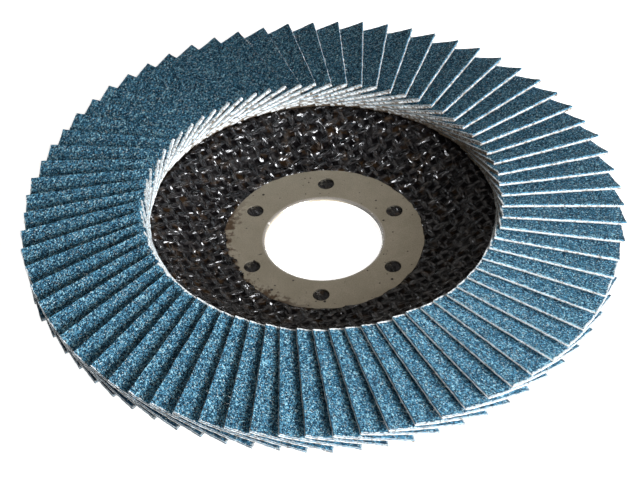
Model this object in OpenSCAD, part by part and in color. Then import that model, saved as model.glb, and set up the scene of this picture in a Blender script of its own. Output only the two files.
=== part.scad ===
// Conical flap disc for an angle grinder.
// Seventy-two rectangles of abrasive cloth lie like roof tiles on a conical backing plate.
// The plate is three glass-mesh plies in resin, moulded round a pressed steel mounting ring.
// The origin is on the bore axis, in the rear face of the hub that seats on the grinder's
// flange. +Z points along the bore axis to the working side, where the abrasive is.

/* [Mounting ring] */
// Bore that fits over the locating step of the grinder's flange
bore_d = 22.23; // [20:0.01:23.5]
// Outside diameter of the ring's flange
ring_d = 38.6; // [36:0.1:41]
// Thickness of the steel sheet
sheet_t = 0.5; // [0.3:0.05:0.6]
// Inside radius of the bend between flange and collar
bend_r = 0.15; // [0.05:0.05:0.3]
// Number of small holes that let resin key the ring to the plate
key_hole_count = 6; // [3:1:8]
// Diameter of each keying hole
key_hole_d = 3.2; // [2:0.1:4]
// Diameter of the circle through the keying holes
key_hole_pcd = 30.9; // [30:0.1:32]

/* [Backing plate] */
// Diameter of the plate's rim
plate_d = 106; // [98:1:109]
// Thickness of one glass-mesh ply
ply_t = 0.8; // [0.7:0.05:1]
// Radius where the flat hub ends and the dish begins to rise
hub_r = 21; // [20.8:0.1:23]
// Radius of the crest between dish and cone
crest_r = 33.2; // [31:0.1:33.4]
// Height of the crest above the hub's front face
dish_rise = 3.65; // [2.5:0.05:5]
// Angle of the cone below the plane of the disc
cone_angle = 10; // [5:0.5:15]

/* [Abrasive flaps] */
// Number of flaps, which must be even because they are listed in pairs
flap_count = 72; // [40:2:72]
// Diameter over the flaps' outer corners, which is the disc's nominal size
disc_d = 115; // [112:0.5:118]
// Diameter inside the flaps' inner corners
flap_ring_d = 68.4; // [68:0.1:72]
// Width of a flap from its free edge to its glued edge
flap_w = 15.7; // [14:0.1:16]
// Distance from a flap's free edge to its radial centre line
flap_lead = 7.3; // [6:0.1:8]
// Thickness of the abrasive cloth, its grit included
flap_t = 0.72; // [0.5:0.01:0.75]
// Angle that a flap leans back over the next one
flap_tilt = 17.3; // [17:0.1:20]
// Angle of the first flap's centre line from the X axis
flap_phase = 0.6; // [0:0.1:5]

/* [Adhesive] */
// Thickness of the bed that the flaps are glued to
bed_t = 0.4; // [0.2:0.05:0.8]
// Bond line left between pieces that are bonded together
bond_gap = 0.02; // [0.01:0.01:0.04]

/* [Hidden] */
bore_r = bore_d / 2;
ring_r = ring_d / 2;
collar_r = bore_r + sheet_t;
lip_r = sheet_t + bend_r;
// The plies are bored to the collar's outside, less the bond line
ply_bore_r = collar_r + bond_gap;

ply_count = 3;
hub_h = ply_count * ply_t;
rim_r = plate_d / 2;
bed_inner_r = crest_r + 0.6;
dish_steps = 14;

pitch = 360 / flap_count;
pair_count = flap_count / 2;
// How far the free edge stands ahead of the centre line and above it, in plan and in height
lead_y = flap_lead * cos(flap_tilt);
lead_z = flap_lead * sin(flap_tilt);
// The same for the lower corner of the glued edge, which trails and hangs below
root_w = flap_w - flap_lead;
root_y = root_w * cos(flap_tilt) - flap_t * sin(flap_tilt);
root_drop = root_w * sin(flap_tilt) + flap_t * cos(flap_tilt);
// Ends of the flap's centre line, set by the corners that measure the flap ring
flap_x_in = sqrt(pow(flap_ring_d / 2, 2) - pow(lead_y, 2)) - lead_z * sin(cone_angle);
flap_x_out = sqrt(pow(disc_d / 2, 2) - pow(lead_y, 2)) - lead_z * sin(cone_angle);
flap_l = (flap_x_out - flap_x_in) / cos(cone_angle);
// The outer lower corner of the glued edge is the corner that rests on the adhesive
root_r_out = norm([flap_x_out - root_drop * sin(cone_angle), root_y]);
flap_z = bed_top(root_r_out) + bond_gap + flap_l * sin(cone_angle) + root_drop * cos(cone_angle);

round_fn = 96;

function pair_name(i) = str("flap_pair_", i < 10 ? "0" : "", i);

// Height of the plate's front face: flat hub, cosine dish, then a cone falling outwards
function dish_top(r) = hub_h + dish_rise * (1 - cos(180 * (r - hub_r) / (crest_r - hub_r))) / 2;
function cone_top(r) = hub_h + dish_rise - (r - crest_r) * tan(cone_angle);
function plate_top(r) = r < hub_r ? hub_h : r < crest_r ? dish_top(r) : cone_top(r);
function bed_top(r) = cone_top(r) + bond_gap + bed_t;

// Radii at which the plate's profile has a corner, from the hub's edge to the rim
function profile_radii() = concat(
    [for (i = [0:dish_steps]) hub_r + (crest_r - hub_r) * i / dish_steps],
    [rim_r]
);

// Half section of a ply that starts at start_r, a given depth below the plate's front face
module ply_section(depth, thickness, start_r) {
    radii = concat([start_r], profile_radii());
    upper = [for (r = radii) [r, plate_top(r) - depth]];
    lower = [for (i = [len(radii) - 1:-1:0]) [radii[i], plate_top(radii[i]) - depth - thickness]];
    polygon(concat(upper, lower));
}

// Half section of the eyelet: a flange, a rounded bend and a collar that lines the bore
module ring_section() {
    translate([bore_r + lip_r, hub_h - sheet_t]) square([ring_r - bore_r - lip_r, sheet_t]);
    translate([bore_r, 0]) square([sheet_t, hub_h - lip_r]);
    translate([bore_r + lip_r, hub_h - lip_r]) intersection() {
        difference() {
            circle(r = lip_r, $fn = round_fn);
            circle(r = bend_r, $fn = round_fn);
        }
        translate([-lip_r, 0]) square(lip_r);
    }
}

module mounting_ring() {
    color([0.52, 0.49, 0.44]) difference() {
        rotate_extrude($fn = round_fn) ring_section();
        for (i = [0:key_hole_count - 1]) {
            rotate([0, 0, (i + 0.5) * 360 / key_hole_count])
            translate([key_hole_pcd / 2, 0, hub_h - 2 * sheet_t])
            cylinder(h = 3 * sheet_t, d = key_hole_d, $fn = 48);
        }
    }
}

// The front ply is let in by the sheet's thickness, so the ring's flange lies flush in it
module front_glass_ply() {
    seat_z = hub_h - sheet_t - bond_gap;
    chamfer = bend_r + bond_gap;
    color([0.10, 0.09, 0.10]) rotate_extrude($fn = round_fn) difference() {
        ply_section(0, ply_t - bond_gap, ply_bore_r);
        translate([0, seat_z]) square([ring_r + bond_gap, 2 * sheet_t]);
        translate([ply_bore_r, seat_z]) rotate(45) square(chamfer * sqrt(2), center = true);
    }
}

module middle_glass_ply() {
    color([0.13, 0.11, 0.10]) rotate_extrude($fn = round_fn)
        ply_section(ply_t, ply_t - bond_gap, ply_bore_r);
}

module rear_glass_ply() {
    color([0.10, 0.09, 0.10]) rotate_extrude($fn = round_fn)
        ply_section(2 * ply_t, ply_t, ply_bore_r);
}

// Conical ring of adhesive on the plate, from just outside the crest to the rim
module adhesive_bed() {
    color([0.42, 0.30, 0.18]) rotate_extrude($fn = round_fn) polygon([
        [bed_inner_r, cone_top(bed_inner_r) + bond_gap],
        [rim_r, cone_top(rim_r) + bond_gap],
        [rim_r, bed_top(rim_r)],
        [bed_inner_r, bed_top(bed_inner_r)]
    ]);
}

// One flap: its free edge is the clockwise one seen from the working side, and stands higher
module flap(index) {
    rotate([0, 0, flap_phase + index * pitch])
    translate([flap_x_in, 0, flap_z])
    rotate([-flap_tilt, cone_angle, 0])
    translate([0, -flap_lead, -flap_t])
    cube([flap_l, flap_w, flap_t]);
}

// Two neighbouring flaps, still separate solids
module flap_pair(pair) {
    color([0.27, 0.47, 0.62]) for (i = [0:1]) flap(2 * (pair - 1) + i);
}

mounting_ring();
front_glass_ply();
middle_glass_ply();
rear_glass_ply();
adhesive_bed();
for (i = [1:pair_count]) flap_pair(i);
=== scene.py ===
"""Looks of a conical flap disc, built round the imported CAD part.

Lengths are in millimetres until a mesh is made.
"""

import math

import bmesh
import bpy
import numpy as np
from mathutils import Matrix, Vector


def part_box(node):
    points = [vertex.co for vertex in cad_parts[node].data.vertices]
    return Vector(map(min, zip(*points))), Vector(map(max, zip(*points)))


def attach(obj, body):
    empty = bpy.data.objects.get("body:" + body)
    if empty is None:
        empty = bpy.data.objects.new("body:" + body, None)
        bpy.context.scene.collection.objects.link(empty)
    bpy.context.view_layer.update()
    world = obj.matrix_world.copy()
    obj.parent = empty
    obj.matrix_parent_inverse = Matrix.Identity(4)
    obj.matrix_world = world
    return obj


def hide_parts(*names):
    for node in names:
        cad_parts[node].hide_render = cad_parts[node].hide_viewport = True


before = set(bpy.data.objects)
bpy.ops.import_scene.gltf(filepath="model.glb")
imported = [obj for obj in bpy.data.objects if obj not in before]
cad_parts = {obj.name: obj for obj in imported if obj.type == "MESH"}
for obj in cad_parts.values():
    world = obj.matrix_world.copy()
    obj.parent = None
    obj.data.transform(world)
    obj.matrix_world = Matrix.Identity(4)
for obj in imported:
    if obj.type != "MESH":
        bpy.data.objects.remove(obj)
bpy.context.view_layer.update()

MM = 0.001
BODY = "root"

# ---------------------------------------------------------------- sizes read from the frame


def box_mm(node):
    """Lowest and highest corner of a CAD node, in millimetres."""
    low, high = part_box(node)
    return np.array(low) / MM, np.array(high) / MM


def vertices_mm(node):
    """All of a CAD node's vertices, in millimetres."""
    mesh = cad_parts[node].data
    points = np.zeros(len(mesh.vertices) * 3)
    mesh.vertices.foreach_get("co", points)
    return points.reshape(-1, 3) / MM


ring_points = vertices_mm("mounting_ring")
ring_radii = np.hypot(ring_points[:, 0], ring_points[:, 1])
RING_R = ring_radii.max()
BORE_R = ring_radii.min()
RING_TOP = ring_points[:, 2].max()

ply_points = vertices_mm("front_glass_ply")
ply_radii = np.hypot(ply_points[:, 0], ply_points[:, 1])
RIM_R = ply_radii.max()
PLY_BORE_R = ply_radii.min()
CREST_Z = ply_points[:, 2].max()
CREST_R = ply_radii[ply_points[:, 2] > CREST_Z - 0.001].mean()
RIM_TOP = ply_points[ply_radii > RIM_R - 0.01][:, 2].max()
RING_SEAT = ply_points[ply_radii < RING_R - 1.0][:, 2].max()
PLY_T = box_mm("front_glass_ply")[0][2] - box_mm("middle_glass_ply")[0][2]
HUB_R = ply_radii[(ply_radii > RING_R + 0.1) & (ply_points[:, 2] > RING_TOP - 0.001)].min()
CONE_SLOPE = (CREST_Z - RIM_TOP) / (RIM_R - CREST_R)
BED_R = np.hypot(*vertices_mm("adhesive_bed")[:, :2].T).min()
BED_T = box_mm("adhesive_bed")[1][2] - (CREST_Z - (BED_R - CREST_R) * CONE_SLOPE)

# The ring's keying holes: how many, the radius of the circle through them, and their own radius.
KEY_HOLES = 6
KEY_HOLE_PCD_R = 15.45
KEY_HOLE_R = 1.6

# ---------------------------------------------------------------- repeatable noise


def scatter(i, j, seed):
    """Repeatable random numbers from 0 to 1, one for each pair of whole numbers."""
    i = np.asarray(i).astype(np.int64).astype(np.uint32)
    j = np.asarray(j).astype(np.int64).astype(np.uint32)
    h = i * np.uint32(374761393) + j * np.uint32(668265263) + np.uint32((seed * 2246822519) & 0xFFFFFFFF)
    h = (h ^ (h >> np.uint32(13))) * np.uint32(1274126177)
    h = (h ^ (h >> np.uint32(15))) * np.uint32(2654435761)
    return ((h ^ (h >> np.uint32(16))) & np.uint32(0xFFFFFF)) / float(0x1000000)


def soft_noise(x, y, seed):
    """Smooth noise from -1 to 1, with features about one unit wide."""
    x, y = np.broadcast_arrays(np.asarray(x, float), np.asarray(y, float))
    i, j = np.floor(x), np.floor(y)
    a, b = x - i, y - j
    a, b = a * a * (3 - 2 * a), b * b * (3 - 2 * b)
    low = scatter(i, j, seed) * (1 - a) + scatter(i + 1, j, seed) * a
    high = scatter(i, j + 1, seed) * (1 - a) + scatter(i + 1, j + 1, seed) * a
    return 2 * (low * (1 - b) + high * b) - 1


def layered_noise(x, y, seed, layers=3):
    """Soft noise with finer and weaker layers on top."""
    total = 0.0
    for k in range(layers):
        total = total + soft_noise(x * 2**k, y * 2**k, seed + 17 * k) / 2**k
    return total / 1.75


def grains(x, y, size, seed):
    """Height from 0 to 1 and tone from 0 to 1 of angular grains that are packed about one size apart."""
    gx, gy = x / size, y / size
    i, j = np.floor(gx), np.floor(gy)
    height, tone = np.zeros_like(gx), np.full_like(gx, 0.5)
    for di in (-1, 0, 1):
        for dj in (-1, 0, 1):
            ci, cj = i + di, j + dj
            dx = gx - ci - 0.1 - 0.8 * scatter(ci, cj, seed)
            dy = gy - cj - 0.1 - 0.8 * scatter(ci, cj, seed + 1)
            turn = 2 * math.pi * scatter(ci, cj, seed + 2)
            reach = np.full_like(gx, -9.0)
            for side in range(4):
                angle = turn + side * 1.7
                reach = np.maximum(reach, dx * np.cos(angle) + dy * np.sin(angle))
            top = 0.35 + 0.65 * scatter(ci, cj, seed + 3)
            lean = (dx * np.cos(turn) + dy * np.sin(turn)) * (scatter(ci, cj, seed + 4) - 0.5) * 1.1
            here = top + lean - 1.6 * np.maximum(reach - 0.22, 0)
            tone = np.where(here > height, scatter(ci, cj, seed + 5), tone)
            height = np.maximum(height, here)
    return np.clip(height, 0, 1.3), tone


# ---------------------------------------------------------------- mesh helpers


def grid_faces(ids, wrap=False):
    """Quads over a two-dimensional array of vertex numbers. wrap joins the last row to the first."""
    if wrap:
        ids = np.vstack([ids, ids[:1]])
    return np.stack([ids[:-1, :-1], ids[1:, :-1], ids[1:, 1:], ids[:-1, 1:]], -1).reshape(-1, 4).tolist()


def zip_faces(a, at, b, bt):
    """Triangles between two runs of vertices that start and end together.

    at and bt are the places from 0 to 1 of the vertices of a and b along their runs.
    """
    faces, i, j = [], 0, 0
    while i < len(a) - 1 or j < len(b) - 1:
        if j == len(b) - 1 or (i < len(a) - 1 and at[i + 1] <= bt[j + 1]):
            faces.append((a[i], a[i + 1], b[j]))
            i += 1
        else:
            faces.append((a[i], b[j + 1], b[j]))
            j += 1
    return faces


def face_outwards(mesh):
    """Turns every face of a closed mesh so that its normal points outwards."""
    shell = bmesh.new()
    shell.from_mesh(mesh)
    bmesh.ops.recalc_face_normals(shell, faces=shell.faces)
    shell.to_mesh(mesh)
    shell.free()


def make_piece(name, points_mm, faces, attributes, material, node, smooth=True):
    """Makes an object that rides on the body, carries the given material and stands for the CAD node."""
    mesh = bpy.data.meshes.new(name)
    mesh.from_pydata((np.asarray(points_mm) * MM).tolist(), [], faces)
    for key, values in attributes.items():
        layer = mesh.attributes.new(key, "FLOAT", "POINT")
        layer.data.foreach_set("value", np.asarray(values, np.float32))
    face_outwards(mesh)
    mesh.polygons.foreach_set("use_smooth", [smooth] * len(mesh.polygons))
    mesh.materials.append(material)
    mesh.update()
    piece = bpy.data.objects.new(name, mesh)
    bpy.context.scene.collection.objects.link(piece)
    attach(piece, BODY)
    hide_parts(node)


# ---------------------------------------------------------------- material helpers


class Shader:
    """A node material with one Principled node, and short calls for the nodes that feed it."""

    def __init__(self, name):
        self.material = bpy.data.materials.new(name)
        self.material.use_nodes = True
        self.tree = self.material.node_tree
        self.principled = self.tree.nodes["Principled BSDF"]
        self.coords = self.tree.nodes.new("ShaderNodeTexCoord").outputs["Object"]

    def put(self, socket, value):
        """Joins another node's output to a socket, or sets the socket's number or colour."""
        if isinstance(value, bpy.types.NodeSocket):
            self.tree.links.new(value, socket)
        elif isinstance(value, tuple) and len(value) == 3 and len(socket.default_value) == 4:
            socket.default_value = (*value, 1.0)
        else:
            socket.default_value = value

    def surface(self, **inputs):
        """Sets the Principled node's inputs by name, with _ for a space."""
        for key, value in inputs.items():
            self.put(self.principled.inputs[key.replace("_", " ")], value)

    def attribute(self, name):
        """A value that each vertex of the mesh carries."""
        node = self.tree.nodes.new("ShaderNodeAttribute")
        node.attribute_name = name
        return node.outputs["Fac"]

    def maths(self, operation, a, b=0.0, clamp=False):
        """One operation on one or two numbers."""
        node = self.tree.nodes.new("ShaderNodeMath")
        node.operation = operation
        node.use_clamp = clamp
        self.put(node.inputs[0], a)
        self.put(node.inputs[1], b)
        return node.outputs[0]

    def mix(self, factor, a, b):
        """Colour a where factor is 0 and b where it is 1."""
        node = self.tree.nodes.new("ShaderNodeMix")
        node.data_type = "RGBA"
        self.put(node.inputs["Factor"], factor)
        self.put(node.inputs["A"], a)
        self.put(node.inputs["B"], b)
        return node.outputs["Result"]

    def spread(self, value, low, high, to_low=0.0, to_high=1.0):
        """Maps low..high to to_low..to_high, clamped."""
        node = self.tree.nodes.new("ShaderNodeMapRange")
        self.put(node.inputs["Value"], value)
        self.put(node.inputs["From Min"], low)
        self.put(node.inputs["From Max"], high)
        self.put(node.inputs["To Min"], to_low)
        self.put(node.inputs["To Max"], to_high)
        return node.outputs["Result"]

    def place(self, size_mm, turn=(0.0, 0.0, 0.0)):
        """Object coordinates in units of size_mm, one number or three, after a turn in radians."""
        node = self.tree.nodes.new("ShaderNodeMapping")
        node.vector_type = "TEXTURE"
        node.inputs["Rotation"].default_value = turn
        sizes = size_mm if isinstance(size_mm, tuple) else (size_mm,) * 3
        node.inputs["Scale"].default_value = tuple(s * MM for s in sizes)
        self.tree.links.new(self.coords, node.inputs["Vector"])
        return node.outputs["Vector"]

    def noise(self, size_mm, detail=3.0, roughness=0.55, turn=(0.0, 0.0, 0.0)):
        """Soft noise from 0 to 1, with features about size_mm across."""
        node = self.tree.nodes.new("ShaderNodeTexNoise")
        self.put(node.inputs["Vector"], self.place(size_mm, turn))
        node.inputs["Scale"].default_value = 1.0
        node.inputs["Detail"].default_value = detail
        node.inputs["Roughness"].default_value = roughness
        return node.outputs["Fac"]

    def cells(self, size_mm, output="Color", turn=(0.0, 0.0, 0.0)):
        """Cells about size_mm apart: a random colour for each, or the distance from its middle."""
        node = self.tree.nodes.new("ShaderNodeTexVoronoi")
        self.put(node.inputs["Vector"], self.place(size_mm, turn))
        node.inputs["Scale"].default_value = 1.0
        return node.outputs[output]

    def first(self, colour):
        """The red channel of a colour, as a number."""
        node = self.tree.nodes.new("ShaderNodeSeparateColor")
        self.put(node.inputs[0], colour)
        return node.outputs[0]

    def axis_value(self, axis):
        """A place along one axis, in millimetres."""
        node = self.tree.nodes.new("ShaderNodeSeparateXYZ")
        self.put(node.inputs[0], self.place(1.0))
        return node.outputs[axis]

    def distance_from_axis(self):
        """The distance from the disc's axis, in millimetres."""
        across = self.maths("POWER", self.axis_value("X"), 2.0)
        along = self.maths("POWER", self.axis_value("Y"), 2.0)
        return self.maths("SQRT", self.maths("ADD", across, along))

    def vector_maths(self, operation, a, b):
        """One operation on one or two vectors."""
        node = self.tree.nodes.new("ShaderNodeVectorMath")
        node.operation = operation
        self.put(node.inputs[0], a)
        self.put(node.inputs[1], b)
        return node.outputs["Vector"]

    def facets(self, colour, tilt):
        """Normals of small flat faces that lean at random by up to tilt, one for each cell of colour."""
        lean = self.vector_maths("SUBTRACT", colour, (0.5, 0.5, 0.5))
        lean = self.vector_maths("MULTIPLY", lean, tilt)
        normal = self.tree.nodes.new("ShaderNodeNewGeometry").outputs["Normal"]
        return self.vector_maths("NORMALIZE", self.vector_maths("ADD", normal, lean), (0.0, 0.0, 0.0))

    def bump(self, height, depth_mm, strength=1.0, under=None):
        """Normals of fine relief from a height of 0 to 1, on top of the normals in under."""
        node = self.tree.nodes.new("ShaderNodeBump")
        node.inputs["Strength"].default_value = strength
        node.inputs["Distance"].default_value = depth_mm * MM
        self.put(node.inputs["Height"], height)
        if under is not None:
            self.tree.links.new(under, node.inputs["Normal"])
        return node.outputs["Normal"]


# ---------------------------------------------------------------- materials

WEAVE_TURN = math.radians(28)
STRAND_HALF = 0.34
STRAND_MEAN = 0.62
STRAND_SWING = 0.38
WHITE = (1.0, 1.0, 1.0)

GRIT_DARK = (0.003, 0.024, 0.056)
GRIT_LIGHT = (0.095, 0.300, 0.475)
GRIT_HOLLOW = (0.003, 0.012, 0.026)
GRIT_HAZE = (0.035, 0.110, 0.180)
GRIT_SHINE = (0.45, 0.80, 1.0)
GRAIN_PALE = (0.36, 0.68, 0.83)
GRAIN_NAVY_AND_SHADE = (0.003, 0.014, 0.036)
SPECK_WHITE = (0.68, 0.80, 0.82)
SPECK_OLIVE = (0.26, 0.34, 0.30)
CLOTH_CLEAN_AND_LIT = (0.80, 0.87, 0.92)
CLOTH_SOILED_AND_SHADE = (0.13, 0.10, 0.07)
CLOTH_GAP = (0.22, 0.18, 0.14)


def abrasive_material():
    """Blue grit in resin where the coat attribute is 1, woven cloth where it is 0.

    The tone attribute picks pale and navy grains, and clean and soiled cloth. It also carries painted shade
    and painted light, which darken or lighten flaps by their place on the disc. The lift attribute is the
    height of the grains.
    """
    s = Shader("abrasive_cloth")
    coat, tone, lift = s.attribute("coat"), s.attribute("tone"), s.attribute("lift")
    speck = s.first(s.cells(0.21))
    fine = s.first(s.cells(0.16))
    patch = s.noise(2.4, 4)
    blue = s.mix(s.spread(speck, 0.25, 0.80), GRIT_DARK, GRIT_LIGHT)
    blue = s.mix(s.spread(tone, 0.70, 0.95, 0.0, 0.9), blue, GRAIN_PALE)
    # Navy where the tone is low: navy grains, and painted shade.
    blue = s.mix(s.spread(tone, 0.30, 0.05, 0.0, 0.95), blue, GRAIN_NAVY_AND_SHADE)
    blue = s.mix(s.spread(fine, 0.950, 0.960, 0.0, 0.7), blue, SPECK_WHITE)
    blue = s.mix(s.spread(fine, 0.022, 0.015, 0.0, 0.7), blue, SPECK_OLIVE)
    blue = s.mix(s.spread(lift, 0.45, 0.08, 0.0, 0.9), blue, GRIT_HOLLOW)
    blue = s.mix(s.spread(patch, 0.3, 0.7, 0.0, 0.1), blue, GRIT_HAZE)
    yarn = s.noise(0.25, 3)
    # Soiled cloth where the tone is low and clean cloth where it is high: real yarns, plus painted shade and
    # painted light.
    cloth = s.mix(s.spread(tone, 0.10, 0.50), CLOTH_SOILED_AND_SHADE, CLOTH_CLEAN_AND_LIT)
    cloth = s.mix(s.spread(yarn, 0.48, 0.66, 0.0, 0.75), cloth, CLOTH_GAP)
    s.surface(
        Base_Color=s.mix(coat, cloth, blue),
        Roughness=s.spread(fine, 0.7, 1.0, 0.85, 0.35),
        Specular_IOR_Level=0.35,
        Specular_Tint=s.mix(coat, WHITE, GRIT_SHINE),
    )
    height = s.maths("ADD", s.maths("MULTIPLY", fine, 0.6), yarn)
    s.surface(Normal=s.bump(height, 0.06, 0.9))
    return s.material


def woven_strands(s):
    """The strands of weave(), with more pointed crowns, worked out at every shading point.

    Gives their height from 0 to 1, a flag for strands that run along q, and a random colour for each
    crossing.
    """
    p, q = s.attribute("weave_p"), s.attribute("weave_q")
    across_p = s.maths("SUBTRACT", s.maths("FRACT", p), 0.5)
    across_q = s.maths("SUBTRACT", s.maths("FRACT", q), 0.5)
    cell_p, cell_q = s.maths("FLOOR", p), s.maths("FLOOR", q)
    odd = s.maths("MODULO", s.maths("ADD", cell_p, cell_q), 2.0)
    over = s.maths("SUBTRACT", 1.0, s.maths("MULTIPLY", odd, 2.0))
    waves = [s.maths("COSINE", s.maths("MULTIPLY", f, math.pi)) for f in (across_p, across_q)]
    both = s.maths("MULTIPLY", waves[0], waves[1])
    lift = s.maths("MULTIPLY", both, s.maths("MULTIPLY", over, STRAND_SWING))
    rounds = []
    for f in (across_p, across_q):
        part = s.maths("POWER", s.maths("ABSOLUTE", s.maths("DIVIDE", f, STRAND_HALF + 0.04)), 1.4)
        rounds.append(s.maths("SUBTRACT", 1.0, part, True))
    along = s.maths("MULTIPLY", rounds[0], s.maths("ADD", STRAND_MEAN, lift))
    across = s.maths("MULTIPLY", rounds[1], s.maths("SUBTRACT", STRAND_MEAN, lift))
    place = s.tree.nodes.new("ShaderNodeCombineXYZ")
    s.put(place.inputs["X"], cell_p)
    s.put(place.inputs["Y"], cell_q)
    chance = s.tree.nodes.new("ShaderNodeTexWhiteNoise")
    s.tree.links.new(place.outputs["Vector"], chance.inputs["Vector"])
    height = s.maths("MAXIMUM", along, across)
    runs_along_q = s.maths("GREATER_THAN", along, across)
    return height, runs_along_q, chance.outputs["Color"]


RESIN_GAP_SHADE = (0.0010, 0.0008, 0.0013)
RESIN_CROWN = (0.0044, 0.0038, 0.0054)
RESIN_FIBRE = (0.022, 0.020, 0.021)
RESIN_THIN = (0.034, 0.019, 0.008)
RESIN_SHINE = (0.91, 0.94, 1.0)
STRAND_TEXTURE = (0.16, 2.0, 0.5)
CHIP_TEXTURE = (0.32, 0.85, 0.5)


def along_strands(s, strand, texture, size):
    """A texture with features of the given size, turned at each place to run along the strand there."""
    width, length, depth = size
    turn = (0, 0, WEAVE_TURN)
    return s.mix(strand, texture((length, width, depth), turn), texture((width, length, depth), turn))


def resin_material():
    """Glossy black resin over woven glass strands, brown where it is thin, dull in the gaps, and darker there
    as painted shade.
    """
    s = Shader("plate_resin")
    raised = s.attribute("raised")
    height, strand, chance = woven_strands(s)
    fibres = s.first(
        along_strands(s, strand, lambda size, turn: s.noise(size, 2, turn=turn), STRAND_TEXTURE)
    )
    pool = s.spread(s.noise(2.6, 3), 0.32, 0.68, 0.05, 0.44)
    height = s.maths("MAXIMUM", height, pool)
    thin = s.noise(2.2, 5, 0.6)
    chips = along_strands(s, strand, lambda size, turn: s.cells(size, turn=turn), CHIP_TEXTURE)
    chips = s.mix(0.92, chance, chips)
    crown = s.maths("MULTIPLY", s.spread(height, 0.25, 0.47), s.spread(raised, 0.15, 0.40))
    # Darker resin in the gaps than on the crowns: painted shade.
    colour = s.mix(crown, RESIN_GAP_SHADE, RESIN_CROWN)
    colour = s.mix(s.spread(fibres, 0.50, 0.72, 0.0, 0.8), colour, RESIN_FIBRE)
    colour = s.mix(s.spread(thin, 0.53, 0.66, 0.0, 0.8), colour, RESIN_THIN)
    s.surface(
        Base_Color=colour,
        Roughness=s.spread(crown, 0.0, 1.0, 0.45, 0.20),
        Specular_IOR_Level=s.spread(crown, 0.0, 1.0, 0.02, 1.0),
        Specular_Tint=RESIN_SHINE,
        IOR=1.62,
    )
    lean = s.facets(chips, s.spread(crown, 0.0, 1.0, 0.3, 2.4))
    strands = s.bump(height, 0.22, 1.0, under=lean)
    s.surface(Normal=s.bump(fibres, 0.05, 0.7, under=strands))
    return s.material


STEEL_DARK = (0.45, 0.42, 0.34)
STEEL_LIGHT = (0.56, 0.52, 0.435)
STEEL_GRAIN = (0.30, 0.27, 0.21)
STEEL_POLISH_AND_HIGHLIGHT = (0.93, 0.92, 0.90)
RUST_LIGHT = (0.075, 0.042, 0.018)
RUST_DARK = (0.030, 0.018, 0.010)
PIT_COLOUR = (0.02, 0.015, 0.012)
LIP_TAN = (0.42, 0.35, 0.24)
LIP_PAINTED_SHADE = (0.02, 0.02, 0.02)


def ring_material():
    """Dull steel with pits, and rust at one part of its edge. The collar in the bore is polished and bright,
    its colour raised as a painted highlight. The lip at the bore's edge is tan, and black as painted shade
    on the side away from the key light.
    """
    s = Shader("ring_steel")
    cloud = s.noise(4.0, 5, 0.65)
    fine = s.noise(0.22, 4, 0.7)
    radius = s.distance_from_axis()
    colour = s.mix(s.spread(cloud, 0.3, 0.7), STEEL_DARK, STEEL_LIGHT)
    colour = s.mix(s.spread(fine, 0.42, 0.62, 0.0, 0.55), colour, STEEL_GRAIN)

    to_edge = s.spread(radius, RING_R - 3.5, RING_R, 0.0, 0.38)
    near_edge = s.maths("ADD", to_edge, s.noise(1.3, 4, 0.65))
    side = s.maths("ADD", s.axis_value("X"), s.maths("MULTIPLY", s.axis_value("Y"), 0.45))
    side = s.spread(side, -8.0, -15.0)
    rust = s.maths("MULTIPLY", s.spread(near_edge, 0.66, 0.80), side, True)
    colour = s.mix(rust, colour, s.mix(s.spread(fine, 0.4, 0.6), RUST_LIGHT, RUST_DARK))

    pit = s.spread(s.cells(3.3, "Distance"), 0.075, 0.10, 1.0, 0.0)
    small_pit = s.spread(s.cells(1.2, "Distance"), 0.12, 0.18, 0.9, 0.0)
    some = s.spread(s.noise(2.6, 1), 0.54, 0.58)
    pits = s.maths("MAXIMUM", pit, s.maths("MULTIPLY", small_pit, some))
    colour = s.mix(pits, colour, PIT_COLOUR)

    # Painted highlight: a band of very bright steel near the bore, on top of its polish.
    collar = s.spread(radius, BORE_R + 0.75, BORE_R + 0.25)
    colour = s.mix(collar, colour, STEEL_POLISH_AND_HIGHLIGHT)
    # Painted shade: the lip is tan on the -X side and black on the +X side, away from the key light.
    lip = s.spread(s.axis_value("Z"), RING_TOP - 0.55, RING_TOP - 0.40)
    lip = s.maths("MULTIPLY", lip, s.spread(radius, BORE_R + 0.20, BORE_R + 0.08))
    colour = s.mix(lip, colour, s.mix(s.spread(s.axis_value("X"), 2.0, 7.0), LIP_TAN, LIP_PAINTED_SHADE))

    covered = s.maths("MAXIMUM", s.maths("MAXIMUM", pits, rust), lip)
    satin = s.spread(s.noise(1.1, 5), 0.3, 0.7, 0.40, 0.55)
    s.surface(
        Base_Color=colour,
        Metallic=s.spread(covered, 0.0, 1.0, 0.88, 0.0),
        Roughness=s.spread(collar, 0.0, 1.0, satin, 0.10),
    )
    height = s.maths("SUBTRACT", fine, s.maths("MULTIPLY", pits, 3.0))
    s.surface(Normal=s.bump(height, 0.025, 0.8))
    return s.material


ADHESIVE_DARK = (0.035, 0.026, 0.018)
ADHESIVE_LIGHT = (0.14, 0.10, 0.065)


def adhesive_material():
    """Set dark brown adhesive."""
    s = Shader("adhesive")
    cloud = s.noise(2.0, 5)
    s.surface(
        Base_Color=s.mix(s.spread(cloud, 0.3, 0.7), ADHESIVE_DARK, ADHESIVE_LIGHT),
        Roughness=s.spread(s.noise(0.8, 3), 0.3, 0.7, 0.25, 0.5),
    )
    s.surface(Normal=s.bump(s.noise(0.5, 4), 0.1, 0.6))
    return s.material


# ---------------------------------------------------------------- abrasive flaps

GRAIN_SIZE = 0.24
GRAIN_LIFT = 0.15
# Spacing of the mesh on the part of the top that shows, on the rest, and where the first ends.
TOP_STEP = 0.135
HIDDEN_STEP = 0.45
SHOWN_WIDTH = 7.0
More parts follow.
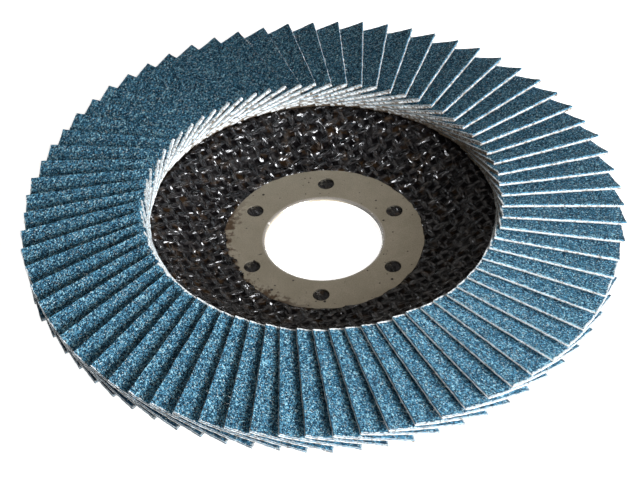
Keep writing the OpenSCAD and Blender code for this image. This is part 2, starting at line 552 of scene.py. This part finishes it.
# The rows down a cut edge: depth, how far the row stands out, and 1 for grit or 0 for cloth.
EDGE_ROWS = (
    (0.09, 0.01, 1.0),
    (0.25, 0.03, 1.0),
    (0.31, 0.06, 0.0),
    (0.50, 0.08, 0.0),
    (0.72, -0.02, 0.0),
)
EDGE_DEPTH = EDGE_ROWS[-1][0]
# The two rows on either side of the line between grit and cloth. At the ends their depth is multiplied
# by END_COAT, and at the outer ends with painted shade also by one plus a share of that shade, so that
# more of those ends shows dark grit as painted shade.
COAT_LINE_ROWS = (1, 2)
END_COAT = 0.50
PAINTED_SHADE_COAT = 1.3
# How light the yarns are along the sides, and how much is added as painted light where the sides face
# the key light.
SIDE_TONE = 0.68
PAINTED_LIGHT_SIDE_TONE = 0.9
LOWEST_ROW_TONE = 0.25
# Width of the yarns in the cut edges, and of the finer frays at the inner ends.
YARN_WIDTH = 0.45
FRAY_WIDTH = 0.26
# How far the cut line wanders, and how far in from it the top follows.
CUT_WANDER = 0.07
CUT_REACH = 0.7
# Width of the strip of bare cloth at the inner and at the outer end.
INNER_FRAY = 0.26
OUTER_FRAY = 0.12
# From this distance on, the next flaps cover a flap.
COVERED_FROM = 6.3
COVERED_RIM = 0.08
# The free edge's curl: how high it lifts, and how far it reaches.
EDGE_LIFT = 0.28
LIFT_REACH = 5.0
# The plain back: its distance from the flap's edges, and its number of lines each way.
BACK_INSET = 0.12
BACK_LINES = (24, 16)
THREADS_PER_FLAP = 26
THREAD_RADIUS = 0.028
# Where on the disc the inner ends are darkest, partly stained and partly as painted shade; where the outer
# ends get the most painted shade; and where the sides get the most painted light. The shade lies away
# from the key light, the light towards it.
INNER_STAIN_AND_SHADE_AZIMUTH = math.radians(20)
PAINTED_SHADE_OUTER_AZIMUTH = math.radians(212)
PAINTED_LIGHT_SIDE_AZIMUTH = math.radians(325)
FLAP_SEED = 1000


def islands(node):
    """The corner points of each separate solid of a CAD node of boxes."""
    points = vertices_mm(node)
    keys = np.round(points, 3)
    unique = np.unique(keys, axis=0)
    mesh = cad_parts[node].data
    index = {tuple(p): k for k, p in enumerate(unique)}
    parent = list(range(len(unique)))

    def root(k):
        while parent[k] != k:
            k = parent[k]
        return k

    for polygon in mesh.polygons:
        members = [index[tuple(keys[v])] for v in polygon.vertices]
        for m in members[1:]:
            parent[root(m)] = root(members[0])
    groups = {}
    for k in range(len(unique)):
        groups.setdefault(root(k), []).append(unique[k])
    return [np.array(g) for g in groups.values()]


def flap_axes(corners):
    """Where a flap lies: its inner free top corner, its unit axes and its lengths along them.

    The axes point outwards, across from the free edge, and up.
    """
    start = corners[0]
    spans = sorted((c - start for c in corners[1:]), key=np.linalg.norm)
    picked = []
    for span in spans:
        unit = span / np.linalg.norm(span)
        if all(abs(unit @ p / np.linalg.norm(p)) < 0.02 for p in picked):
            picked.append(span)
    up, across, out = picked
    centre = corners.mean(0)
    out = out * np.sign(out @ np.array([centre[0], centre[1], 0]))
    up = up * np.sign(up[2])
    across = across * np.sign(np.cross(up, out) @ across)
    corner = centre - out / 2 - across / 2 + up / 2
    lengths = [np.linalg.norm(a) for a in (out, across, up)]
    return corner, [a / n for a, n in zip((out, across, up), lengths)], lengths


def perimeter(nu, nv):
    """Grid places round the edge of an nu by nv grid, as four runs that share their corners."""
    low = [(i, 0) for i in range(nu)]
    far = [(nu - 1, j) for j in range(nv)]
    top = [(i, nv - 1) for i in range(nu - 1, -1, -1)]
    back = [(0, j) for j in range(nv - 1, -1, -1)]
    return [low, far, top, back]


def towards(azimuth, centre, sharpness):
    """1 for a flap at the azimuth centre, falling to 0 on the far side of the disc."""
    return (0.5 + 0.5 * math.cos(azimuth - centre)) ** sharpness


def flap_surface(length, width, shade, seed):
    """The top: local places, height and tone of the grains, and coat, with one row for each line across.

    Where the next flaps cover it, the grit of the outer half is darkened by shade, which is painted shade,
    and the inner half is bare cloth.
    """
    u_lines = np.linspace(0, length, int(length / TOP_STEP) + 1)
    shown = np.linspace(0, SHOWN_WIDTH, int(SHOWN_WIDTH / TOP_STEP) + 1)
    hidden = np.linspace(SHOWN_WIDTH, width, int((width - SHOWN_WIDTH) / HIDDEN_STEP) + 1)[1:]
    v_lines = np.concatenate([shown, hidden])
    u, v = np.meshgrid(u_lines, v_lines, indexing="ij")
    height, tone = grains(u + 40, v + 40, GRAIN_SIZE, seed)
    inset = np.minimum(np.minimum(u, length - u), np.minimum(v, width - v))
    w = (height - 0.6) * GRAIN_LIFT * np.clip(0.35 + inset / 0.5, 0, 1)
    w = w + 0.02 * layered_noise(u / 1.5, v / 1.5, seed + 9)
    bare_inner = INNER_FRAY * (1 + 0.9 * layered_noise(v / 0.5, 0 * v, seed + 21))
    bare_outer = OUTER_FRAY * (1 + 0.9 * layered_noise(v / 0.5, 0 * v, seed + 23))
    bare = (u < bare_inner) | (length - u < bare_outer)
    covered = v > COVERED_FROM
    grit_under = (u > length / 2) & (inset >= COVERED_RIM)
    coat = np.where(covered, np.where(grit_under, 1.0, 0.0), np.where(bare, 0.0, 1.0))
    frayed_tone = 0.45 + 0.55 * tone
    # Painted shade: the covered grit is darkened by shade.
    covered_tone = np.where(grit_under, (1 - shade) * tone, 0.38 + 0.3 * tone)
    open_tone = np.where(bare, frayed_tone, tone)
    return u, v, w, height, np.where(covered, covered_tone, open_tone), coat


def cut_line(u, v, length, width, seed):
    """Moves points near a flap's edges so that the cut isn't perfectly straight."""
    for distance, sign_u, sign_v, along, k in (
        (u, -1, 0, v, 1),
        (length - u, 1, 0, v, 2),
        (v, 0, -1, u, 3),
        (width - v, 0, 1, u, 4),
    ):
        weight = np.exp(-np.clip(distance, 0, None) / CUT_REACH)
        push = CUT_WANDER * layered_noise(along / 1.6, 0 * along + k, seed + 31 * k, 4)
        u, v = u + sign_u * weight * push, v + sign_v * weight * push
    return u, v


def fibre_mesh(starts, directions, lengths, radius, rng):
    """Thin closed tapering threads, each with three sides, from starts along directions."""
    points, faces = [], []
    for start, direction, length in zip(starts, directions, lengths):
        side = np.cross(direction, rng.normal(size=3))
        side /= np.linalg.norm(side)
        other = np.cross(direction, side)
        sag = side * rng.uniform(-0.3, 0.3) * length
        base = len(points)
        for t, r in ((0.0, 1.0), (0.5, 0.9)):
            middle = start + direction * length * t + sag * t * t
            for a in (0.0, 2.094, 4.189):
                points.append(middle + radius * r * (side * math.cos(a) + other * math.sin(a)))
        points.append(start + direction * length + sag)
        for k in range(3):
            n = (k + 1) % 3
            faces.append((base + k, base + n, base + 3 + n, base + 3 + k))
            faces.append((base + 3 + k, base + 3 + n, base + 6))
        faces.append((base + 2, base + 1, base))
    return np.array(points), faces


class FlapMesh:
    """Points, faces, and coat, tone and lift values of one flap, gathered part by part."""

    def __init__(self):
        self.points, self.faces, self.count = [], [], 0
        self.values = {"coat": [], "tone": [], "lift": []}

    def add(self, points, coat, tone, lift):
        """Adds points with their values, and returns the points' numbers."""
        for key, value in (("coat", coat), ("tone", tone), ("lift", lift)):
            self.values[key].append(np.broadcast_to(value, len(points)))
        self.points.append(points)
        self.count += len(points)
        return np.arange(self.count - len(points), self.count)


def travelled(points):
    """The distance walked along a line of points, seen from above, at each of them."""
    return np.concatenate([[0], np.cumsum(np.linalg.norm(np.diff(points[:, :2], axis=0), axis=1))])


def directions_out(outline):
    """Unit directions that point away from a flap at each point of its outline, seen from above."""
    along = np.roll(outline, 1, 0)[:, :2] - np.roll(outline, -1, 0)[:, :2]
    outward = np.stack([-along[:, 1], along[:, 0]], 1)
    return outward / np.maximum(np.linalg.norm(outward, axis=1, keepdims=True), 1e-9)


def add_edges(shell, outline, top_ids, at_ends, at_inner_end, azimuth, thick, seed):
    """Ragged rows down the cut edges, grit above cloth. Returns the numbers of the lowest row's points."""
    # Inner ends: darker towards one side of the disc, partly a stain and partly painted shade away from the
    # key light.
    inner_stain_and_shade = towards(azimuth, INNER_STAIN_AND_SHADE_AZIMUTH, 8)
    # Outer ends: painted shade, darkest on the side of the disc away from the key light.
    outer_painted_shade = towards(azimuth, PAINTED_SHADE_OUTER_AZIMUTH, 3)
    # Sides: painted light, lightest on the side of the disc towards the key light.
    side_tone = SIDE_TONE + PAINTED_LIGHT_SIDE_TONE * towards(azimuth, PAINTED_LIGHT_SIDE_AZIMUTH, 6)
    at_outer_end = at_ends & ~at_inner_end
    walk = travelled(outline)
    outward = directions_out(outline)
    above = top_ids
    lowest = len(EDGE_ROWS) - 1
    for k, (depth, bulge, coated) in enumerate(EDGE_ROWS):
        ragged = 1 + 0.9 * layered_noise(walk / YARN_WIDTH, walk * 0 + 3 * k, seed + k, 3)
        row = outline.copy()
        row[:, :2] += outward * (bulge * ragged)[:, None]
        row[:, 2] = -depth * thick / EDGE_DEPTH
        if 0 < k < lowest:
            row[:, 2] += 0.05 * layered_noise(walk / 0.6, walk * 0, seed + 40, 3)
        if k in COAT_LINE_ROWS:
            row[at_ends, 2] *= END_COAT
            # Painted shade: more of the outer ends shows dark grit.
            row[at_outer_end, 2] *= 1 + PAINTED_SHADE_COAT * outer_painted_shade
        yarns = 0.5 + 0.6 * layered_noise(walk / YARN_WIDTH, walk * 0 + 0.7 * k, seed + 60, 2)
        frays = 0.5 + 1.1 * soft_noise(walk / FRAY_WIDTH, walk * 0 + 1.3 * k, seed + 80)
        tone = np.where(at_inner_end, np.maximum(frays, 0.12), yarns)
        # Painted light on the sides.
        tone = tone * np.where(at_ends, 1.0, side_tone)
        # Stain and painted shade on the inner ends.
        tone = tone * np.where(at_inner_end, 1 - 0.8 * inner_stain_and_shade, 1.0)
        # Painted shade on the outer ends.
        tone = tone * np.where(at_outer_end, 1 - (0.9 if coated else 0.35) * outer_painted_shade, 1.0)
        tone = tone * (LOWEST_ROW_TONE if k == lowest else 1.0)
        below = shell.add(row, coated, tone, 0.5)
        shell.faces += grid_faces(np.stack([above, below], 1), wrap=True)
        above = below
    return above


def add_back(shell, outline, runs, lowest, length, width, thick):
    """A plain back, joined by triangles to the lowest row of the edges."""
    u_lines = np.linspace(BACK_INSET, length - BACK_INSET, BACK_LINES[0])
    v_lines = np.linspace(BACK_INSET, width - BACK_INSET, BACK_LINES[1])
    u, v = np.meshgrid(u_lines, v_lines, indexing="ij")
    points = np.stack([u.ravel(), v.ravel(), np.full(u.size, -thick)], 1)
    ids = shell.add(points, 0.0, 0.5, 0.5).reshape(u.shape)
    shell.faces += grid_faces(ids[::-1])
    start = 0
    for run, back_run in zip(runs, perimeter(*u.shape)):
        steps = np.arange(start, start + len(run)) % len(lowest)
        places = travelled(outline[steps])
        coarse = [ids[p] for p in back_run]
        shell.faces += zip_faces(lowest[steps], places / places[-1], coarse, np.linspace(0, 1, len(coarse)))
        start += len(run) - 1


def add_threads(shell, outline, thick, rng):
    """A few loose threads that stick out of the cut cloth."""
    picks = rng.integers(0, len(outline), THREADS_PER_FLAP)
    starts = outline[picks].copy()
    starts[:, 2] = -rng.uniform(0.25, 0.68, len(picks)) * thick / EDGE_DEPTH
    outward = directions_out(outline)
    heading = np.stack([outward[picks, 0], outward[picks, 1], np.zeros(len(picks))], 1)
    heading += rng.normal(scale=(0.7, 0.7, 0.25), size=heading.shape)
    heading /= np.linalg.norm(heading, axis=1, keepdims=True)
    lengths = rng.uniform(0.2, 0.75, len(picks))
    points, faces = fibre_mesh(starts, heading, lengths, THREAD_RADIUS, rng)
    first = int(shell.add(points, 0.0, 0.5, 0.5)[0])
    shell.faces += [tuple(k + first for k in face) for face in faces]


def flap_piece(name, number, corners, material, node):
    """One flap: a coated top with real grains, frayed woven edges, a plain back and loose threads."""
    corner, (out, across, up), (length, width, thick) = flap_axes(corners)
    seed = FLAP_SEED + 7 * number
    rng = np.random.default_rng(seed)
    middle = corner + out * length / 2
    azimuth = math.atan2(middle[1], middle[0])
    # Painted shade on the grit where the next flaps cover this flap, darkest away from the key light.
    shade = towards(azimuth, PAINTED_SHADE_OUTER_AZIMUTH, 6)
    u, v, w, lift, tone, coat = flap_surface(length, width, shade, seed)
    u, v = cut_line(u, v, length, width, seed)
    shell = FlapMesh()
    top = np.stack([u.ravel(), v.ravel(), w.ravel()], 1)
    ids = shell.add(top, coat.ravel(), tone.ravel(), lift.ravel()).reshape(u.shape)
    shell.faces += grid_faces(ids)
    runs = perimeter(*u.shape)
    outline_ids = np.array([ids[p] for run in runs for p in run[:-1]])
    outline = top[outline_ids]
    at_ends = np.isin(outline_ids, ids[[0, -1]])
    at_inner_end = np.isin(outline_ids, ids[0])
    lowest = add_edges(shell, outline, outline_ids, at_ends, at_inner_end, azimuth, thick, seed)
    add_back(shell, outline, runs, lowest, length, width, thick)
    add_threads(shell, outline, thick, rng)
    place = bend_flap(np.concatenate(shell.points), length, width, rng)
    world = corner + place[:, :1] * out + place[:, 1:2] * across + place[:, 2:] * up
    attributes = {key: np.concatenate(values) for key, values in shell.values.items()}
    make_piece(name, world, shell.faces, attributes, material, node, smooth=False)


def bend_flap(local, length, width, rng):
    """Curls the free edge up, and adds small differences in turn, place and twist from flap to flap."""
    u, v, w = local.T.copy()
    turn = math.radians(rng.normal(0, 0.35))
    slide = rng.normal(0, 0.12)
    cu, cv = u - length / 2, v - width / 2
    u2 = length / 2 + slide + cu * math.cos(turn) + cv * math.sin(turn)
    v2 = width / 2 - cu * math.sin(turn) + cv * math.cos(turn)
    a, b = cu / (length / 2), 1 - v / width
    rise = np.clip(1 - v / LIFT_REACH, 0, 1) ** 2 * (0.5 + 0.5 * np.clip(u / length, 0, 1))
    w = w + EDGE_LIFT * rise
    w = w + rng.normal(0, 0.05) * b * a
    w = w + rng.normal(0, 0.04) * a * a * b
    w = w + rng.normal(0, 0.03) * b
    return np.stack([u2, v2, w], 1)


def build_flaps(material):
    """A piece for each flap. Two flaps stand for one CAD node."""
    pairs = sorted(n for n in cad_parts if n.startswith("flap_pair_"))
    number = 0
    for pair in pairs:
        for corners in islands(pair):
            number += 1
            flap_piece(f"flap_{number:02d}", number, corners, material, pair)


# ---------------------------------------------------------------- backing plate

# Spacing of the strands, and a number of strands that keeps all places in the weave above 0.
WEAVE_PITCH = 2.25
WEAVE_OFFSET = 200
STRAND_HEIGHT = 0.30
# Seeds of the woven cloth in each ply.
DISH_WEAVE = 61
MIDDLE_WEAVE = 85
REAR_WEAVE = 91
# Where the resin has crept over the ring's edge: the middle and the spread in degrees round the axis, and
# the furthest it gets.
CREEP_AZIMUTH = 206
CREEP_SPREAD = 27
CREEP_MOST = 2.4
# Millimetres for each radian of noise along the ring's edge and along the plate's rim.
RING_WALK = 19
RIM_WALK = 53
# The dish's mesh: the number of angles, and the spacing along its profile.
DISH_ANGLES = 900
DISH_STEP = 0.19
# The plugs' values for resin_material(): slightly raised, in the middle of a crossing.
PLUG_VALUES = {"raised": 0.24, "weave_p": WEAVE_OFFSET + 0.5, "weave_q": WEAVE_OFFSET + 0.5}
PLUG_R = KEY_HOLE_R + 0.03
PLUG_RINGS = 9
PLUG_STEPS = 40


def plate_top(r):
    """Height of the plate's front face at each radius."""
    rise = CREST_Z - RING_TOP
    dish = RING_TOP + rise * (1 - np.cos(np.pi * (r - HUB_R) / (CREST_R - HUB_R))) / 2
    cone = CREST_Z - (r - CREST_R) * CONE_SLOPE
    return np.where(r < HUB_R, RING_TOP, np.where(r < CREST_R, dish, cone))


def weave_axes(x, y, seed):
    """Places across and along the woven cloth, in strands, with the small wander of real strands."""
    c, s = math.cos(WEAVE_TURN), math.sin(WEAVE_TURN)
    p = (x * c + y * s) / WEAVE_PITCH + 0.30 * layered_noise(x / 6, y / 6, seed) + WEAVE_OFFSET
    q = (-x * s + y * c) / WEAVE_PITCH + 0.30 * layered_noise(x / 6, y / 6, seed + 5) + WEAVE_OFFSET
    return p, q


def weave(x, y, seed):
    """Height of resin-covered woven strands."""
    p, q = weave_axes(x, y, seed)
    over = np.where((np.floor(p) + np.floor(q)) % 2 == 0, 1.0, -1.0)
    fp, fq = p - np.floor(p) - 0.5, q - np.floor(q) - 0.5
    crown = np.cos(np.pi * fp) * np.cos(np.pi * fq)
    round_p = np.sqrt(np.clip(1 - (fp / STRAND_HALF) ** 2, 0, 1))
    round_q = np.sqrt(np.clip(1 - (fq / STRAND_HALF) ** 2, 0, 1))
    swing = STRAND_SWING * over * crown
    along = round_p * (STRAND_MEAN + swing + 0.12 * soft_noise(p * 9, q * 1.6, seed + 8))
    across = round_q * (STRAND_MEAN - swing + 0.12 * soft_noise(p * 1.6, q * 9, seed + 9))
    level = 0.25 + 0.32 * np.clip(layered_noise(x / 2.5, y / 2.5, seed + 11), -0.4, 1)
    height = np.maximum(np.maximum(along, across), level)
    coarse = 0.10 * soft_noise(x / 0.55, y / 0.55, seed + 13)
    fine = 0.06 * soft_noise(x / 0.3, y / 0.3, seed + 15)
    return height + (coarse + fine)


def angles(n):
    """n angles round the axis, as a column."""
    return np.linspace(0, 2 * math.pi, n, endpoint=False)[:, None]


def lathe_points(radii, heights):
    """Points and faces of a closed ring. A row stands for an angle, a column for a point of the profile."""
    n, m = radii.shape
    angle = angles(n)
    points = np.stack([radii * np.cos(angle), radii * np.sin(angle), heights], -1).reshape(-1, 3)
    ids = np.arange(n * m).reshape(n, m)
    return points, grid_faces(np.hstack([ids, ids[:, :1]]), wrap=True)


def ply_values(radii, raised, seed):
    """What resin_material() needs to know at each point of a ply."""
    angle = angles(len(radii))
    p, q = weave_axes(radii * np.cos(angle), radii * np.sin(angle), seed)
    return {"raised": raised.ravel(), "weave_p": p.ravel(), "weave_q": q.ravel()}


def crept_over(angle):
    """How far the resin has crept inwards over the ring's edge at each angle."""
    ragged = layered_noise(angle * RING_WALK / 2.2, 0 * angle + 4, 51, 4)
    patch = np.exp(-(((np.degrees(angle) - CREEP_AZIMUTH) / CREEP_SPREAD) ** 2))
    tongues = 1.3 + 0.9 * layered_noise(angle * RING_WALK / 0.9, 0 * angle, 52, 4)
    return np.clip(0.10 + 0.28 * ragged + patch * tongues, 0.02, CREEP_MOST)


def front_ply(material):
    """The dish: woven strands in resin, let in round the steel ring, and the plugs in the ring's holes."""
    angle = angles(DISH_ANGLES)
    wall = 0 * angle
    creep = crept_over(angle)
    edge = RING_R - creep
    shown = np.arange(0, CREST_R + 1.6 - RING_R, DISH_STEP)[None, :]
    r_top = RING_R + shown - creep * np.clip(1 - shown / 3.0, 0, 1)
    height = weave(r_top * np.cos(angle), r_top * np.sin(angle), DISH_WEAVE)
    at_edge = np.clip((r_top - edge) / 0.9, 0, 1) ** 0.5
    at_crest = np.clip(1 - (r_top - CREST_R + 0.4) / 2.0, 0.35, 1)
    relief = at_edge * at_crest * (0.04 + STRAND_HEIGHT * height)
    z_top = plate_top(np.maximum(r_top, RING_R)) + relief + 0.02
    hidden = np.linspace(CREST_R + 2.6, RIM_R, 12)[None, :] + wall
    r_back = np.concatenate([[RIM_R], np.linspace(CREST_R, HUB_R, 8), [PLY_BORE_R]])[None, :] + wall
    z_back = plate_top(r_back) - (PLY_T - 0.02)
    r_seat = np.concatenate([wall + PLY_BORE_R, wall + RING_R + 0.02, wall + RING_R + 0.02, edge], 1)
    seat_heights = (RING_SEAT - 0.15, RING_SEAT, RING_TOP + 0.004, RING_TOP + 0.004)
    z_seat = np.concatenate([wall + z for z in seat_heights], 1)
    radii = np.concatenate([r_top, hidden, r_back, r_seat], 1)
    heights = np.concatenate([z_top, plate_top(hidden), z_back, z_seat], 1)
    raised = np.concatenate([height, 0 * hidden, 0 * r_back, 0 * r_seat], 1)
    points, faces = lathe_points(radii, heights)
    values = ply_values(radii, raised, DISH_WEAVE)
    plug_points, plug_faces = resin_plugs()
    faces += [tuple(k + len(points) for k in face) for face in plug_faces]
    points = np.vstack([points, plug_points])
    values = {
        key: np.concatenate([value, np.full(len(plug_points), PLUG_VALUES[key])])
        for key, value in values.items()
    }
    make_piece("front_ply", points, faces, values, material, "front_glass_ply")


def resin_plugs():
    """Resin that has risen into the ring's small holes, as six lumpy discs with a flat bottom."""
    points, faces = [], []
    angle = np.linspace(0, 2 * math.pi, PLUG_STEPS, endpoint=False)
    for k in range(KEY_HOLES):
        turn = (k + 0.5) * 2 * math.pi / KEY_HOLES
        cx, cy = KEY_HOLE_PCD_R * math.cos(turn), KEY_HOLE_PCD_R * math.sin(turn)
        base = len(points)
        for j in range(PLUG_RINGS):
            r = PLUG_R * (j + 1) / PLUG_RINGS
            x, y = cx + r * np.cos(angle), cy + r * np.sin(angle)
            lump = layered_noise(x / 0.7, y / 0.7, 71 + k, 3)
            z = RING_SEAT + 0.20 + 0.13 * lump + 0.06 * (j / PLUG_RINGS) ** 4
            points += np.stack([x, y, z], 1).tolist()
        points += [[cx + PLUG_R * math.cos(a), cy + PLUG_R * math.sin(a), RING_SEAT] for a in angle]
        points.append([cx, cy, RING_SEAT + 0.22])
        points.append([cx, cy, RING_SEAT])
        middle, bottom = len(points) - 2, len(points) - 1
        last = base + PLUG_RINGS * PLUG_STEPS
        for a in range(PLUG_STEPS):
            b = (a + 1) % PLUG_STEPS
            faces.append((middle, base + a, base + b))
            for low in range(base, last, PLUG_STEPS):
                high = low + PLUG_STEPS
                faces.append((low + a, high + a, high + b, low + b))
            faces.append((last + a, bottom, last + b))
    return np.array(points), faces


def middle_ply(material):
    """The ply that shows only as a line at the rim and in the bore, with a frayed rim."""
    angle = angles(360)
    profile = np.concatenate([[PLY_BORE_R], np.linspace(HUB_R, CREST_R, 10), [RIM_R - 0.15]])
    r = profile[None, :] + 0 * angle
    top = plate_top(r) - PLY_T
    low = top - PLY_T + 0.02
    radii = np.concatenate([r, r[:, ::-1]], 1)
    heights = np.concatenate([top, low[:, ::-1]], 1)
    rim = len(profile)
    radii[:, rim - 1 : rim + 1] += 0.12 * layered_noise(angle * RIM_WALK / 0.8, 0 * angle, 81, 3)
    points, faces = lathe_points(radii, heights)
    values = ply_values(radii, 0 * radii, MIDDLE_WEAVE)
    make_piece("middle_ply", points, faces, values, material, "middle_glass_ply")


def rear_ply(material):
    """The back of the plate: the same woven strands in resin, pressed flatter at the hub."""
    angle = angles(800)
    back = np.linspace(RIM_R, PLY_BORE_R + 0.2, 102)[None, :] + 0 * angle
    height = weave(back * np.cos(angle), back * np.sin(angle), REAR_WEAVE)
    pressed = np.clip((back - 18) / 4, 0.25, 1.0)
    z_back = plate_top(back) - 3 * PLY_T + STRAND_HEIGHT * 0.6 * pressed * (1.1 - height)
    front = np.concatenate([[PLY_BORE_R], np.linspace(HUB_R, CREST_R, 10), [RIM_R]])[None, :] + 0 * angle
    z_front = plate_top(front) - 2 * PLY_T
    radii = np.concatenate([front, back], 1)
    points, faces = lathe_points(radii, np.concatenate([z_front, z_back], 1))
    values = ply_values(radii, np.concatenate([0 * front, height], 1), REAR_WEAVE)
    make_piece("rear_ply", points, faces, values, material, "rear_glass_ply")


# ---------------------------------------------------------------- adhesive

BEAD_LINES = 26


def adhesive(material):
    """The bed under the flaps, squeezed up between their glued edges, with a lumpy bead at the rim."""
    angle = angles(1440)
    r = np.linspace(BED_R + 0.3, RIM_R + 0.25, BEAD_LINES)[None, :] + 0 * angle
    cone = CREST_Z - (r - CREST_R) * CONE_SLOPE
    top = cone + BED_T + 0.10 * layered_noise(r * np.cos(angle), r * np.sin(angle), 96, 3)
    low = cone + 0.02
    radii = np.concatenate([r, r[:, ::-1]], 1)
    heights = np.concatenate([top, low[:, ::-1]], 1)
    bead = 0.35 * layered_noise(angle * RIM_WALK / 2.0, 0 * angle, 95, 3)
    radii[:, BEAD_LINES - 2 : BEAD_LINES + 2] += bead
    points, faces = lathe_points(radii, heights)
    make_piece("adhesive", points, faces, {}, material, "adhesive_bed")


# ---------------------------------------------------------------- stage, light and camera

# The camera's target on the axis, its distance in metres and its direction and roll in degrees.
TARGET_Z = 2.4
VIEW_DISTANCE = 0.8
VIEW_ELEVATION = 43.38
VIEW_AZIMUTH = 3.29
VIEW_ROLL = 2.285
LENS_MM = 235.5
AIM_RIGHT_MM = -0.69
AIM_UP_MM = -0.30

FLOOR_HALF = 4.0
FLOOR_DROP = 0.00002
FLOOR_GLOW = 0.82

# The key light's direction in degrees, its distance and size in metres, and its power in watts.
KEY_AZIMUTH = -38
KEY_ELEVATION = 21
KEY_DISTANCE = 1.2
KEY_SIZE = (1.00, 0.42)
KEY_WATTS = 30.5
KEY_COLOUR = (1.0, 0.99, 0.975)
# The light from all round, which is bright from FILL_SIDE and dim from the other side.
FILL_COLOUR = (1.0, 0.92, 0.83, 1.0)
FILL_SIDE = (0.66, 0.44, 0.61)
FILL_DIM = 0.0
FILL_BRIGHT = 0.37


def build_stage():
    """A pale floor that the disc lies on."""
    mesh = bpy.data.meshes.new("floor")
    h = FLOOR_HALF
    mesh.from_pydata([(-h, -h, 0), (h, -h, 0), (h, h, 0), (-h, h, 0)], [], [(0, 1, 2, 3)])
    floor = bpy.data.objects.new("floor", mesh)
    floor.location.z = -FLOOR_DROP
    bpy.context.scene.collection.objects.link(floor)
    s = Shader("pale_floor")
    s.surface(Base_Color=(0.93, 0.93, 0.93), Roughness=0.9, Specular_IOR_Level=0.1)
    s.surface(Emission_Color=WHITE, Emission_Strength=FLOOR_GLOW)
    mesh.materials.append(s.material)


def area_light(name, azimuth, elevation, distance, size, watts, colour):
    """A soft light aimed at the disc. Azimuth is counter-clockwise from +X, seen from above."""
    data = bpy.data.lights.new(name, "AREA")
    data.shape = "RECTANGLE"
    data.size, data.size_y = size
    data.energy = watts
    data.color = colour
    light = bpy.data.objects.new(name, data)
    a, e = math.radians(azimuth), math.radians(elevation)
    back = Vector((math.cos(a) * math.cos(e), math.sin(a) * math.cos(e), math.sin(e)))
    light.location = back * distance
    light.rotation_mode = "QUATERNION"
    light.rotation_quaternion = back.to_track_quat("Z", "Y")
    bpy.context.scene.collection.objects.link(light)


def build_lights():
    """One wide key light, and a fill from all round."""
    area_light("key", KEY_AZIMUTH, KEY_ELEVATION, KEY_DISTANCE, KEY_SIZE, KEY_WATTS, KEY_COLOUR)
    world = bpy.data.worlds.new("studio")
    world.use_nodes = True
    tree = world.node_tree
    background = tree.nodes["Background"]
    background.inputs["Color"].default_value = FILL_COLOUR
    side = tree.nodes.new("ShaderNodeVectorMath")
    side.operation = "DOT_PRODUCT"
    side.inputs[1].default_value = FILL_SIDE
    tree.links.new(tree.nodes.new("ShaderNodeTexCoord").outputs["Generated"], side.inputs[0])
    strength = tree.nodes.new("ShaderNodeMapRange")
    strength.inputs["From Min"].default_value = -1.0
    strength.inputs["To Min"].default_value = FILL_DIM
    strength.inputs["To Max"].default_value = FILL_BRIGHT
    tree.links.new(side.outputs["Value"], strength.inputs["Value"])
    tree.links.new(strength.outputs["Result"], background.inputs["Strength"])
    bpy.context.scene.world = world
    bpy.context.scene.view_settings.view_transform = "Standard"


def build_camera():
    """A long lens from above the near side, rolled a little, aimed at the middle of the ring's front face."""
    data = bpy.data.cameras.new("camera")
    data.sensor_width = 36.0
    data.lens = LENS_MM
    data.clip_start, data.clip_end = 0.01, 20.0
    camera = bpy.data.objects.new("camera", data)
    a, e, roll = (math.radians(x) for x in (VIEW_AZIMUTH, VIEW_ELEVATION, VIEW_ROLL))
    back = Vector((math.sin(a) * math.cos(e), -math.cos(a) * math.cos(e), math.sin(e)))
    right = Vector((math.cos(a), math.sin(a), 0))
    up = back.cross(right)
    rolled_right = right * math.cos(roll) - up * math.sin(roll)
    rolled_up = right * math.sin(roll) + up * math.cos(roll)
    axes = Matrix((rolled_right, rolled_up, back)).transposed().to_4x4()
    aim = rolled_right * AIM_RIGHT_MM * MM + rolled_up * AIM_UP_MM * MM
    eye = Vector((0, 0, TARGET_Z * MM)) + back * VIEW_DISTANCE + aim
    camera.matrix_world = Matrix.Translation(eye) @ axes
    bpy.context.scene.collection.objects.link(camera)
    bpy.context.scene.camera = camera


# ---------------------------------------------------------------- everything together

resin = resin_material()
build_flaps(abrasive_material())
front_ply(resin)
middle_ply(resin)
rear_ply(resin)
adhesive(adhesive_material())
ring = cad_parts["mounting_ring"]
ring.data.materials.clear()
ring.data.materials.append(ring_material())
build_stage()
build_lights()
build_camera()
